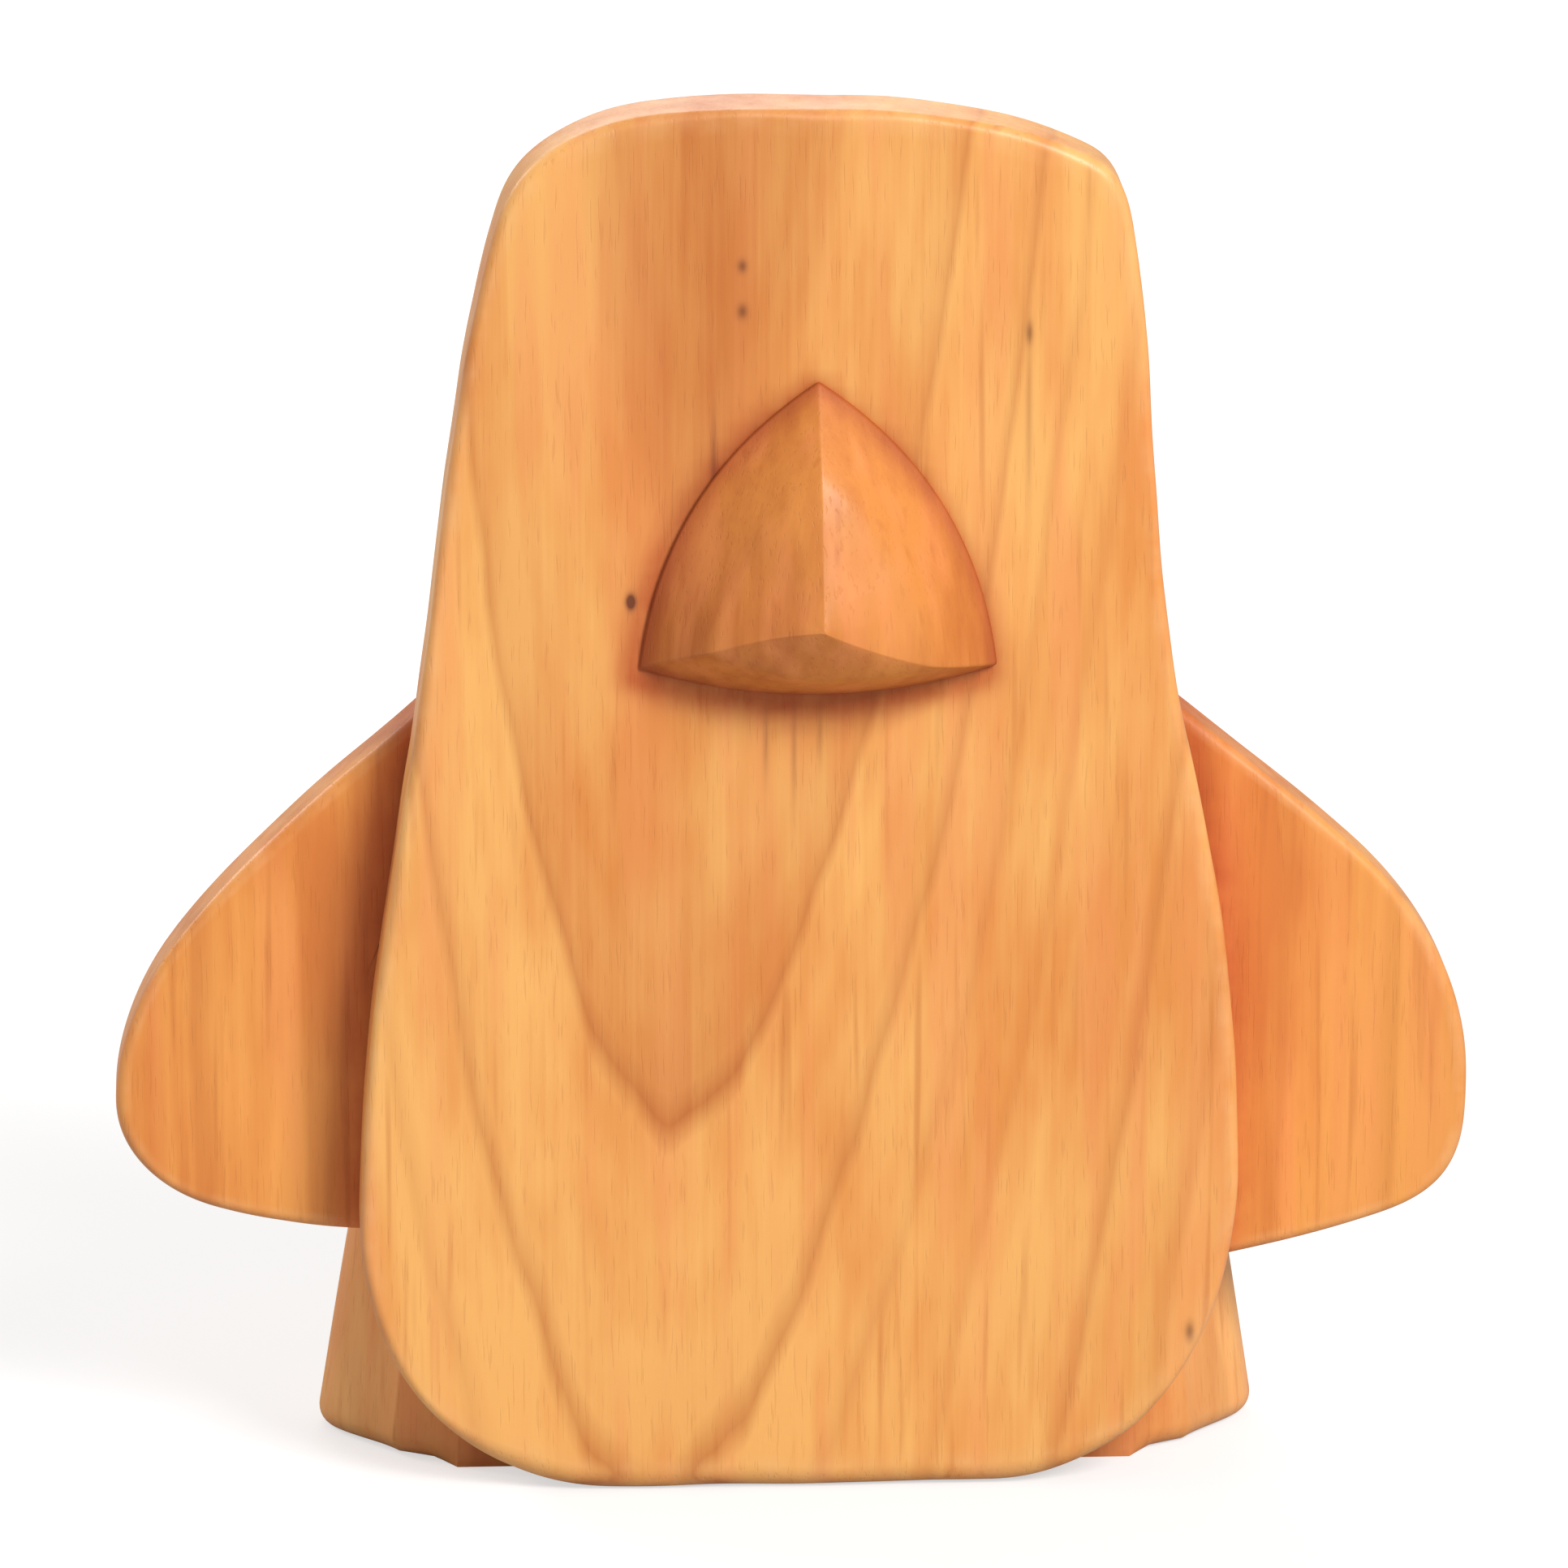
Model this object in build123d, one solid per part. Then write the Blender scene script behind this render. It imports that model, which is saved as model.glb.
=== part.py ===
from build123d import *

import os
from math import atan2, cos, degrees, radians, sqrt

# A carved wooden doll that stands on its own foot. It looks towards -Y and +Z is up.
# "Depth" is counted from the front of the face board towards the back (+Y).
# Sizes are in millimetres.

# ---- driving dimensions -------------------------------------------------------------
NOSE_REACH = 12.0        # how far the nose tip stands in front of the face board
BODY_BACK = 44.0         # depth at which the rounded back of the body ends

BOARD_HEIGHT = 150.0     # the face board is the tallest piece
BOARD_THICKNESS = 10.0
BOARD_ROUND = 1.5        # rounding along the board's edges

ARM_SPAN = 144.6         # over both arms
ARM_THICKNESS = 8.0
ARM_ROUND = 1.5          # rounding along the arms' edges
ARM_ROOT = 30.0          # distance of each arm's inner end from the middle

BODY_HEIGHT = 130.0      # the body ends behind the brow, hidden by the board
BODY_FOOT = 103.2        # widest part of the body at the ground
BODY_FOOT_FRONT = 73.0   # width there of the flat front that the board is glued to
BODY_TOP = 61.0          # the same two widths at the top, and the depth of the back there
BODY_TOP_FRONT = 56.0
BODY_TOP_BACK = 25.0
BODY_WIDEST = 0.5        # the widest part lies halfway from the flat front to the back
BODY_CORNER_ACROSS = 0.8 # size of the round corners there, as shares of the depth behind
BODY_CORNER_DEEP = 0.62  # the widest part
BODY_FLARE = 30.0        # degrees by which the flanks turn back as they leave the flat front
BODY_FLANK = 88.0        # and at their widest
BODY_SHOULDER = 4.0      # rounding round the top
BODY_ROUND = 2.5         # rounding along the ground

NOSE_WIDTH = 37.5
NOSE_TOP = 121.2         # height of the pointed upper end
NOSE_FOOT = 90.6         # height of the two lower corners
NOSE_TIP = 97.0          # height of the foremost point
NOSE_SHIFT = 2.0         # the nose sits a little to one side of the middle
NOSE_SIDE_RADIUS = 41.0  # curve of the two upper outlines on the board
NOSE_UNDER_RADIUS = 60.0 # curve of the lower outline on the board

DOWEL_DIAMETER = 4.0
DOWEL_GLUE_GAP = 0.05    # between a dowel and its hole, all round
DOWEL_END_GAP = 0.5      # between a dowel's end and the bottom of its hole
DOWEL_CHAMFER = 0.5
NOSE_DOWEL_HEIGHT = 101.0
NOSE_DOWEL_IN_NOSE = 6.0
FACE_DOWEL_DROP = 18.0   # the single upper face dowel lies this far under the body's top
FACE_DOWEL_LOW = 20.0    # height of the two lower face dowels
FACE_DOWEL_SPREAD = 48.0 # distance between the two lower face dowels
FACE_DOWEL_IN_BODY = 8.0
ARM_DOWEL_HEIGHTS = (38.0, 70.0)
ARM_DOWEL_IN_ARM = 10.0
ARM_DOWEL_IN_BODY = 12.0
BOARD_SKIN = 3.0         # wood left between a dowel hole and the board's far side

NEAR = 0.01              # edges within this distance of a plane lie on it

# ---- worked-out places --------------------------------------------------------------
FRONT = (NOSE_REACH - BODY_BACK) / 2   # Y of the board's front, before the doll is centred
BOARD_BACK = FRONT + BOARD_THICKNESS
ARM_BACK = BOARD_BACK + ARM_THICKNESS
ARM_TIP = ARM_SPAN / 2
HOLE_IN_BOARD = BOARD_THICKNESS - BOARD_SKIN


# ---- outlines -----------------------------------------------------------------------
def heading(degrees):
    """Unit vector that points along a heading, counted from the first axis."""
    return Vector(1, 0).rotate(Axis.Z, degrees)


def outline(knots):
    """Closed face through knots (across, up, heading in degrees). Each span is a cubic whose
    handles make it a circular arc when its turn is even. A knot given twice is a corner."""
    spans = []
    for (x0, z0, h0), (x1, z1, h1) in zip(knots, knots[1:] + knots[:1]):
        start, end = Vector(x0, z0), Vector(x1, z1)
        if start == end:
            continue
        turn = (h1 - h0 + 180) % 360 - 180
        reach = (end - start).length / (3 * cos(radians(turn / 4)) ** 2)
        spans.append(Bezier(start, start + heading(h0) * reach, end - heading(h1) * reach, end))
    return make_face(spans)


def board_outline():
    """The face board seen from the front: a head that widens to a broad round foot. It was
    shaped by hand, so its upper corners differ and its left side is slightly waisted."""
    top = BOARD_HEIGHT
    return outline([
        (20.0, 0.0, 0), (46.9, 34.0, 90), (44.1, 67.0, 100), (39.4, 91.0, 99),
        (36.9, 118.0, 94), (35.4, top - 15.8, 101), (31.0, top - 5.8, 153), (-7.0, top, 180),
        (-31.2, top - 11.5, 253), (-39.7, 88.0, 262), (-46.6, 29.5, 270), (-20.0, 0.0, 360)])


def arm_outline(side):
    """One arm seen from the front: a fin that slopes down from the shoulder to a round tip.
    The doll's left arm, on the +X side, hangs a little lower at its root."""
    if side > 0:
        return outline([
            (ARM_ROOT, 92.0, 270), (ARM_ROOT, 19.0, 270), (ARM_ROOT, 19.0, 13),
            (60.0, 25.6, 18), (70.2, 31.2, 54), (ARM_TIP, 42.0, 90), (60.0, 67.3, 138),
            (ARM_ROOT, 92.0, 141), (ARM_ROOT, 92.0, 270)])
    return outline([
        (-ARM_ROOT, 26.2, 90), (-ARM_ROOT, 92.2, 90), (-ARM_ROOT, 92.2, 222),
        (-62.0, 63.2, 228), (-ARM_TIP, 41.0, 270), (-60.6, 28.7, 344), (-ARM_ROOT, 26.2, 358),
        (-ARM_ROOT, 26.2, 90)])


def slab(face, back, thickness):
    """A front-view face made into a plate that reaches forward from Y = back."""
    return extrude(Plane.XZ.offset(-back) * face, thickness)


# ---- dowels -------------------------------------------------------------------------
def rod(radius, start, direction, length):
    """A round bar from start along direction."""
    return Plane(origin=start, z_dir=direction) * Cylinder(
        radius, length, align=(Align.CENTER, Align.CENTER, Align.MIN))


def dowel_joint(start, direction, length):
    """(dowel, hole) for a dowel space that runs from start along direction."""
    end_gap = Vector(direction) * DOWEL_END_GAP
    pin = rod(DOWEL_DIAMETER / 2, Vector(start) + end_gap, direction, length - 2 * DOWEL_END_GAP)
    hole = rod(DOWEL_DIAMETER / 2 + DOWEL_GLUE_GAP, start, direction, length)
    return chamfer(pin.edges().filter_by(GeomType.CIRCLE), DOWEL_CHAMFER), hole


def nose_dowel():
    """The dowel that fixes the nose to the face board."""
    start = (NOSE_SHIFT, FRONT - NOSE_DOWEL_IN_NOSE, NOSE_DOWEL_HEIGHT)
    return {"nose_dowel": dowel_joint(start, (0, 1, 0), NOSE_DOWEL_IN_NOSE + HOLE_IN_BOARD)}


def face_dowels():
    """One dowel behind the brow and two behind the foot fix the face board to the body."""
    places = {
        "face_dowel_top": (0, BODY_HEIGHT - FACE_DOWEL_DROP),
        "face_dowel_right": (-FACE_DOWEL_SPREAD / 2, FACE_DOWEL_LOW),
        "face_dowel_left": (FACE_DOWEL_SPREAD / 2, FACE_DOWEL_LOW),
    }
    return {name: dowel_joint((x, FRONT + BOARD_SKIN, z), (0, 1, 0),
                              HOLE_IN_BOARD + FACE_DOWEL_IN_BODY)
            for name, (x, z) in places.items()}


def arm_dowels():
    """Two dowels fix each arm's inner end to the side of the body."""
    joints = {}
    for arm, side in (("right", -1), ("left", 1)):
        for level, height in zip(("lower", "upper"), ARM_DOWEL_HEIGHTS):
            start = (side * (ARM_ROOT - ARM_DOWEL_IN_BODY), BOARD_BACK + ARM_THICKNESS / 2, height)
            joints[f"{arm}_arm_dowel_{level}"] = dowel_joint(
                start, (side, 0, 0), ARM_DOWEL_IN_BODY + ARM_DOWEL_IN_ARM)
    return joints


# ---- carved pieces ------------------------------------------------------------------
def face_board():
    """The upright board that is the doll's head and front."""
    board = slab(board_outline(), BOARD_BACK, BOARD_THICKNESS)
    rims = board.faces().filter_by(Axis.Y).edges()
    return fillet(rims, BOARD_ROUND)


def nose_ball(first, second, radius, tip):
    """The ball that one side of the nose is cut to. It passes through the tip, and on the
    board's face it leaves an arc of the given radius from the first corner to the second."""
    chord = second - first
    inward = Vector(-chord.Z, 0, chord.X).normalized()
    centre = (first + second) / 2 + inward * sqrt(radius ** 2 - chord.length ** 2 / 4)
    across = (tip - centre).X ** 2 + (tip - centre).Z ** 2
    sunk = (radius ** 2 - across - NOSE_REACH ** 2) / (2 * NOSE_REACH)
    ball = Sphere(sqrt(radius ** 2 + sunk ** 2))
    return Pos(centre.X, FRONT + sunk, centre.Z) * ball


def nose():
    """A three-sided nose: two sides meet in an upright ridge and the third faces the ground."""
    right = Vector(NOSE_SHIFT - NOSE_WIDTH / 2, FRONT, NOSE_FOOT)
    left = Vector(NOSE_SHIFT + NOSE_WIDTH / 2, FRONT, NOSE_FOOT)
    top = Vector(NOSE_SHIFT, FRONT, NOSE_TOP)
    tip = Vector(NOSE_SHIFT, FRONT - NOSE_REACH, NOSE_TIP)
    blank = 2 * NOSE_WIDTH
    block = Pos(NOSE_SHIFT, FRONT, NOSE_TIP) * Box(
        blank, blank, blank, align=(Align.CENTER, Align.MAX, Align.CENTER))
    block &= nose_ball(right, left, NOSE_UNDER_RADIUS, tip)
    block &= nose_ball(left, top, NOSE_SIDE_RADIUS, tip)
    return block & nose_ball(top, right, NOSE_SIDE_RADIUS, tip)


def arm(side):
    """One arm, with rounded edges everywhere but at the inner end that meets the body."""
    plate = slab(arm_outline(side), ARM_BACK, ARM_THICKNESS)
    rims = plate.faces().filter_by(Axis.Y).edges()
    return fillet(rims.filter_by(lambda rim: abs(rim.center().X) > ARM_ROOT + NEAR), ARM_ROUND)


def body_section(front, width, depth):
    """The body cut level: flat in front, flaring to its widest, where round corners turn
    into a back bowed as one arc. The widths are across the flat front and the whole."""
    side, flank = front / 2, width / 2
    back = FRONT + depth
    widest = BOARD_BACK + BODY_WIDEST * (back - BOARD_BACK)
    corner = flank - BODY_CORNER_ACROSS * (back - widest)
    corner_y = widest + BODY_CORNER_DEEP * (back - widest)
    bow = 2 * degrees(atan2(back - corner_y, corner))
    return outline([
        (-side, BOARD_BACK, 0), (side, BOARD_BACK, 0), (side, BOARD_BACK, BODY_FLARE),
        (flank, widest, BODY_FLANK), (corner, corner_y, 180 - bow), (0, back, 180),
        (-corner, corner_y, 180 + bow), (-flank, widest, -BODY_FLANK),
        (-side, BOARD_BACK, -BODY_FLARE), (-side, BOARD_BACK, 0)])


def body_block():
    """The block behind the board: a wedge with a round top, let in for the two arms."""
    foot = body_section(BODY_FOOT_FRONT, BODY_FOOT, BODY_BACK)
    top = body_section(BODY_TOP_FRONT, BODY_TOP, BODY_TOP_BACK)
    block = loft([foot, Pos(0, 0, BODY_HEIGHT) * top], ruled=True)
    for height, rounding in ((BODY_HEIGHT, BODY_SHOULDER), (0, BODY_ROUND)):
        rim = block.edges().filter_by_position(Axis.Z, height - NEAR, height + NEAR)
        block = fillet(rim.filter_by(lambda edge: edge.center().Y > BOARD_BACK + NEAR), rounding)
    for side in (-1, 1):
        block -= slab(arm_outline(side), ARM_BACK, ARM_THICKNESS)
    return block


# ---- the doll -----------------------------------------------------------------------
def doll():
    """Every piece by name, each wooden piece bored for the dowels that reach into it, with
    the origin on the ground under the middle of the whole."""
    pieces = {
        "face_board": face_board(),
        "nose": nose(),
        "body_block": body_block(),
        "right_arm": arm(-1),
        "left_arm": arm(1),
    }
    joints = nose_dowel() | face_dowels() | arm_dowels()
    for name in pieces:
        for pin, hole in joints.values():
            pieces[name] -= hole
    pieces |= {name: pin for name, (pin, hole) in joints.items()}
    middle = Compound(list(pieces.values())).bounding_box().center()
    return {name: Pos(-middle.X, -middle.Y, 0) * piece for name, piece in pieces.items()}


os.makedirs("parts", exist_ok=True)
for node, shape in doll().items():
    export_step(shape, f"parts/{node}.step")
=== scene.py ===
# %% [markdown]
# # A carved wooden doll
# The doll is built in layers, like a puzzle of planks: an upright face board with a wedge of a nose
# set on it, two fin-shaped arms, and a deep block behind that carries them all. The CAD model gives
# the exact sizes and the dowels inside. This lesson gives each visible piece the skin that a knife,
# a file and a coat of oil leave behind: surfaces that are never quite flat, edges that are never
# quite even, and wood that shows how the tree grew.

# %% Loading the CAD model
from math import cos, radians, sin

import bpy
import numpy as np
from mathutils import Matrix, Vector


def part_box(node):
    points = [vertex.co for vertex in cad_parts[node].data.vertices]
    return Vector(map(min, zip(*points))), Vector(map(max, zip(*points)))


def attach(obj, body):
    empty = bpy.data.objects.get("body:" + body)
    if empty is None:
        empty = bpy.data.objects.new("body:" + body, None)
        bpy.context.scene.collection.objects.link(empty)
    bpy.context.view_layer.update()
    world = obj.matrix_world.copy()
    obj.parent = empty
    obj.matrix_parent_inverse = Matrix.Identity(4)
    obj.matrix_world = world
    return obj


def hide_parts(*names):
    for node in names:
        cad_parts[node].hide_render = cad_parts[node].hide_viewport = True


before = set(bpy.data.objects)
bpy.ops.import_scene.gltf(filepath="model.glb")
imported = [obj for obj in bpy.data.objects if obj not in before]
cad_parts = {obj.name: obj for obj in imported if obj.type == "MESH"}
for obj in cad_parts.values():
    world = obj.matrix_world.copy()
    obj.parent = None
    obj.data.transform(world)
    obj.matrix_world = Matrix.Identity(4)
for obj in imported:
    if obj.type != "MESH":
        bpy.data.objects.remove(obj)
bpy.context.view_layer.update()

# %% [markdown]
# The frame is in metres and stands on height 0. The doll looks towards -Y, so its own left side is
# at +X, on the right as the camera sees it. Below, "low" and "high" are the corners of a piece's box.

scene = bpy.context.scene
MM = 0.001  # one millimetre in Blender's metres
for node in sorted(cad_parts):
    low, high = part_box(node)
    print(f"{node}: {[round(side / MM, 1) for side in high - low]} mm")

# %% [markdown]
# ## A little unevenness
# Nothing here is made by a machine, so every surface needs a slow, gentle waviness. A sum of a few
# sine waves with random directions and lengths is smooth, cheap and the same on each run. It is
# kept between 0 and 1 and only ever takes wood away, so that no piece outgrows its CAD shape.

# %% Waviness as a sum of waves
def waviness(points, shortest, longest, seed, waves=14):
    """At each point, the sum of sines of (direction . point) * 2 pi / length + phase, over a
    few random directions, lengths and phases, scaled to lie between 0 and 1."""
    rng = np.random.default_rng(seed)
    directions = rng.normal(size=(waves, points.shape[-1]))
    directions /= np.linalg.norm(directions, axis=1, keepdims=True)
    lengths = rng.uniform(shortest, longest, waves)
    phases = rng.uniform(0, 2 * np.pi, waves)
    total = np.sin(points @ (directions * 2 * np.pi / lengths[:, None]).T + phases).sum(-1)
    return np.clip(0.5 + total / (2 * np.sqrt(2 * waves)), 0, 1)


sample = waviness(np.random.default_rng(1).uniform(0, 0.1, (1000, 3)), 15 * MM, 45 * MM, seed=2)
print(f"waviness runs from {sample.min():.2f} to {sample.max():.2f}")

# %% [markdown]
# ## From rings of points to a closed piece
# Every carved piece below is a stack of closed rings. The first and the last ring shrink to one
# point each, a pole, so the surface has no open seam. Neighbouring rings are joined by quads and
# the poles by triangles. The sign of the enclosed volume tells whether the faces point outwards.

# %% Rings to mesh
def new_piece(name, mesh):
    """An object at the origin that shows the mesh."""
    piece = bpy.data.objects.new(name, mesh)
    scene.collection.objects.link(piece)
    return piece


def closed_piece(name, rings):
    """A mesh from rings[ring, step, xyz], where all points of ring 0 and of ring -1 are equal.
    Volume = sum of first corner . (second x third) / 6 over its triangles."""
    count, steps = rings.shape[:2]
    inner = 1 + np.arange((count - 2) * steps).reshape(count - 2, steps)
    ahead = np.roll(inner, -1, axis=1)
    quads = np.stack([inner[:-1], ahead[:-1], ahead[1:], inner[1:]], -1).reshape(-1, 4)
    start = np.stack([np.zeros(steps, int), ahead[0], inner[0]], -1)
    finish = np.stack([np.full(steps, 1 + inner.size), inner[-1], ahead[-1]], -1)
    points = np.vstack([rings[0, :1], rings[1:-1].reshape(-1, 3), rings[-1, :1]])
    a, b, c = points[np.vstack([quads[:, :3], quads[:, [0, 2, 3]], start, finish])].transpose(1, 0, 2)
    volume = np.einsum("ij,ij->", a, np.cross(b, c)) / 6
    turn = 1 if volume > 0 else -1
    faces = [face for part in (quads, start, finish) for face in part[:, ::turn].tolist()]
    mesh = bpy.data.meshes.new(name)
    mesh.from_pydata(points.tolist(), [], faces)
    mesh.shade_smooth()
    print(f"{name}: {len(faces)} faces, {abs(volume) / MM ** 3 / 1000:.1f} cm3")
    return new_piece(name, mesh)


print("pieces of the CAD model to go by:", len(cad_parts))

# %% [markdown]
# ## Masks that travel with the wood
# The finish needs to know where an edge was worked, and where shade is painted into the colour, such
# as in the corner between two pieces. Both are numbers from 0 to 1 kept on the mesh points, so they
# stay right from every side and in the exported model.

# %% Marking a piece
AT_ONCE = 4000    # points compared with an outline at one time, to spare the memory


def points_of(piece):
    """The mesh points as an array [point, xyz]."""
    flat = np.empty(len(piece.data.vertices) * 3, np.float32)
    piece.data.vertices.foreach_get("co", flat)
    return flat.reshape(-1, 3).astype(float)


def mark(piece, name, values):
    """Keeps one number per mesh point under a name that materials can read."""
    layer = piece.data.attributes.new(name, "FLOAT", "POINT")
    layer.data.foreach_set("value", values.astype(np.float32))


def beyond(outline, points):
    """Distance from each point[x, z] outside a closed outline to the nearest outline point, and 0
    inside, which is where the nearest point's outward normal points the other way."""
    flat = points.reshape(-1, 2)
    nearest = np.concatenate([
        np.argmin(((part[:, None] - outline) ** 2).sum(-1), axis=1)
        for part in np.array_split(flat, max(1, len(flat) // AT_ONCE))])
    tangent = np.roll(outline, -1, axis=0) - np.roll(outline, 1, axis=0)
    away = flat - outline[nearest]
    side = away[:, 0] * tangent[nearest, 1] - away[:, 1] * tangent[nearest, 0]
    return np.where(side > 0, np.linalg.norm(away, axis=1), 0)


turns = np.linspace(0, 2 * np.pi, 360, endpoint=False)
circle = np.stack([np.cos(turns), np.sin(turns)], -1)
print("beyond a circle of radius 1:", beyond(circle, np.array([[1.5, 0], [0.2, 0]])))

# %% [markdown]
# ## Reading an outline from the frame
# The board and the arms are plates, and the CAD pieces already have the right outline. A probe reads
# it, as a copying lathe does: it comes in towards the middle from every direction, halfway between
# the two faces but a little off centre, so that it can't slip into a dowel hole, and notes where it
# touches the wood.

# %% The outline of a plate
PROBE_OFF_CENTRE = 0.3    # share of the thickness


def evenly(outline, steps):
    """The closed outline[point, 2] again, as steps points at equal distances along it."""
    loop = np.vstack([outline, outline[:1]])
    travelled = np.concatenate([[0], np.cumsum(np.linalg.norm(np.diff(loop, axis=0), axis=1))])
    places = np.linspace(0, travelled[-1], steps, endpoint=False)
    return np.stack([np.interp(places, travelled, loop[:, axis]) for axis in (0, 1)], -1)


def bell_average(loop, width):
    """Each point replaced by the average of its neighbours, weighted by a bell: at n points away,
    exp(-(n / width)^2 / 2)."""
    steps = len(loop)
    away = np.minimum(np.arange(steps), steps - np.arange(steps))
    bell = np.exp(-0.5 * (away / width) ** 2)
    spectrum = np.fft.fft(loop, axis=0) * np.fft.fft(bell / bell.sum())[:, None]
    return np.fft.ifft(spectrum, axis=0).real


def softened(outline, blur):
    """An outline of evenly spaced points, with its corners blurred over a distance."""
    return bell_average(outline, blur / np.linalg.norm(outline[1] - outline[0]))


def plate_outline(node, steps=520, probes=1440):
    """Seen from the front, the points middle + reach(angle) * (cos angle, sin angle), where reach
    is the distance at which a probe from outside meets the CAD piece."""
    low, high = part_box(node)
    middle = (low + high) / 2
    middle.y += PROBE_OFF_CENTRE * (high.y - low.y)
    far = (high - low).length
    touched = []
    for angle in np.linspace(0, 2 * np.pi, probes, endpoint=False):
        way = Vector((cos(angle), 0, sin(angle)))
        _, place, _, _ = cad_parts[node].ray_cast(middle + far * way, -way)
        touched.append((place.x, place.z))
    return softened(evenly(np.array(touched), steps), blur=0.8 * MM)


board_outline = plate_outline("face_board")
arm_outlines = {node: plate_outline(node) for node in ("left_arm", "right_arm")}
print("board outline", np.round(board_outline.min(0) / MM, 2), np.round(board_outline.max(0) / MM, 2))

# %% [markdown]
# ## The plates: face board and arms
# A plate is its outline carried through the thickness of the wood: out from the middle of the front
# face, round the front edge, down the wall, round the back edge and in again. The edge is rounder
# at the ground, where it wears, than higher up. The knife takes a little more here and a little
# less there, so the rounding wanders, and both faces dip a little between their high spots. A Bevel
# modifier would give the same rounding everywhere, which is what a machine does.

# %% One plate
FACE_RINGS, ROUND_RINGS, WALL_RINGS = 44, 9, 4
FACE_DIP = 0.25 * MM      # deepest dip in a face
EDGE_WANDER = 0.2 * MM    # most that the knife takes off the wall
WORN_UP_TO = 0.03         # share of the height over which the ground's rounding fades out
LEAST_ROUND, VARIED_ROUND = 0.8, 0.45    # share of the rounding that is always there, and the rest
ROUND_WAVES, WALL_WAVES, FACE_WAVES = (12 * MM, 50 * MM), (9 * MM, 40 * MM), (14 * MM, 60 * MM)


def inward_of(outline):
    """Unit normals that point into an outline that runs anticlockwise."""
    tangent = np.roll(outline, -1, axis=0) - np.roll(outline, 1, axis=0)
    tangent /= np.linalg.norm(tangent, axis=1, keepdims=True)
    return np.stack([-tangent[:, 1], tangent[:, 0]], -1)


def plate(name, node, outline, round_low, round_high, seed):
    """Ring k sits inset(k) inside the outline and depth(k) behind the front, where both follow
    quarter circles at the edges: inset = R (1 - sin a), depth = R (1 - cos a)."""
    low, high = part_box(node)
    thickness = high.y - low.y
    rise = (outline[:, 1] - low.z) / (high.z - low.z)
    radius = round_high + (round_low - round_high) * np.exp(-(rise / WORN_UP_TO) ** 2)
    radius *= LEAST_ROUND + VARIED_ROUND * waviness(outline, *ROUND_WAVES, seed)
    taken = EDGE_WANDER * waviness(outline, *WALL_WAVES, seed + 1)
    turn = np.linspace(0, np.pi / 2, ROUND_RINGS)[:, None]
    inset = taken + radius * (1 - np.sin(turn))
    depth = radius * (1 - np.cos(turn))
    wall = np.linspace(0, 1, WALL_RINGS + 2)[1:-1, None]
    insets = np.vstack([inset, taken + 0 * wall, inset[::-1]])
    depths = np.vstack([depth, radius + wall * (thickness - 2 * radius), thickness - depth[::-1]])
    rim = outline + insets[..., None] * inward_of(outline)
    middle = rim[0].mean(0)
    share = np.linspace(0, 1, FACE_RINGS, endpoint=False)[:, None, None]
    flat = np.concatenate([middle + share * (rim[0] - middle), rim,
                           middle + share[::-1] * (rim[-1] - middle)])
    face = np.zeros((FACE_RINGS, len(outline)))
    depths = np.vstack([face, depths, face + thickness])
    dip = FACE_DIP * waviness(flat, *FACE_WAVES, seed + 2) * (1 - 2 * depths / thickness)
    piece = closed_piece(name, np.stack([flat[..., 0], low.y + depths + dip, flat[..., 1]], -1))
    worked = np.vstack([face, 1 + 0 * insets, face])
    mark(piece, "edge", np.concatenate([worked[0, :1], worked[1:-1].ravel(), worked[-1, :1]]))
    return piece


board = plate("carved_board", "face_board", board_outline, 2.6 * MM, 1.1 * MM, seed=11)
arms = {node: plate(f"carved_{node}", node, arm_outlines[node], 1.2 * MM, 1.1 * MM, seed=seed)
        for node, seed in (("left_arm", 23), ("right_arm", 37))}

# %% [markdown]
# ## The nose
# The nose is a low pyramid with three bowed sides. Its outline on the board is three shallow arcs.
# From each point of the outline the surface climbs straight towards the tip, steeply at first,
# where the knife made its first cuts, and then flatter. Where the slope changes, a soft second
# edge runs round the nose, like the girdle of a cut stone.

# %% The outline of the nose
nose_low, nose_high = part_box("nose")
nose_size = nose_high - nose_low
board_face = nose_high.y
CORNER_RISE = 0.09                  # share of the height by which the corners clear its lowest point
TIP_RISE = 0.28                     # the same for the tip
SIDE_BOW, UNDER_BOW = 0.116, 0.08   # how far each arc bows out, as a share of its chord
nose_tip = np.array([(nose_low.x + nose_high.x) / 2, nose_low.z + TIP_RISE * nose_size.z])


def bowed(first, second, bow, steps):
    """A shallow arc: the chord, plus its outward normal times 4 bow t (1 - t)."""
    t = np.linspace(0, 1, steps, endpoint=False)[:, None]
    chord = second - first
    return first + t * chord + 4 * bow * t * (1 - t) * np.array([chord[1], -chord[0]])


def nose_outline(steps):
    """Top, right corner and left corner of the nose, joined by three arcs."""
    corner_z = nose_low.z + CORNER_RISE * nose_size.z
    top, right, left = map(np.array, ((nose_tip[0], nose_high.z), (nose_low.x, corner_z),
                                      (nose_high.x, corner_z)))
    return np.vstack([bowed(top, right, SIDE_BOW, steps), bowed(right, left, UNDER_BOW, steps),
                      bowed(left, top, SIDE_BOW, steps)])


print(f"nose {nose_size.x / MM:.1f} wide, {nose_size.z / MM:.1f} tall, tip at {nose_tip / MM}")

# %% [markdown]
# The height over the board is one function of how far a point has come from the outline to the
# tip. Two straight slopes that meet in a sharp corner would look like cut glass, so the corner is
# softened. The creases sag or rise by a millimetre on their way, because a hand cut them.

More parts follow.
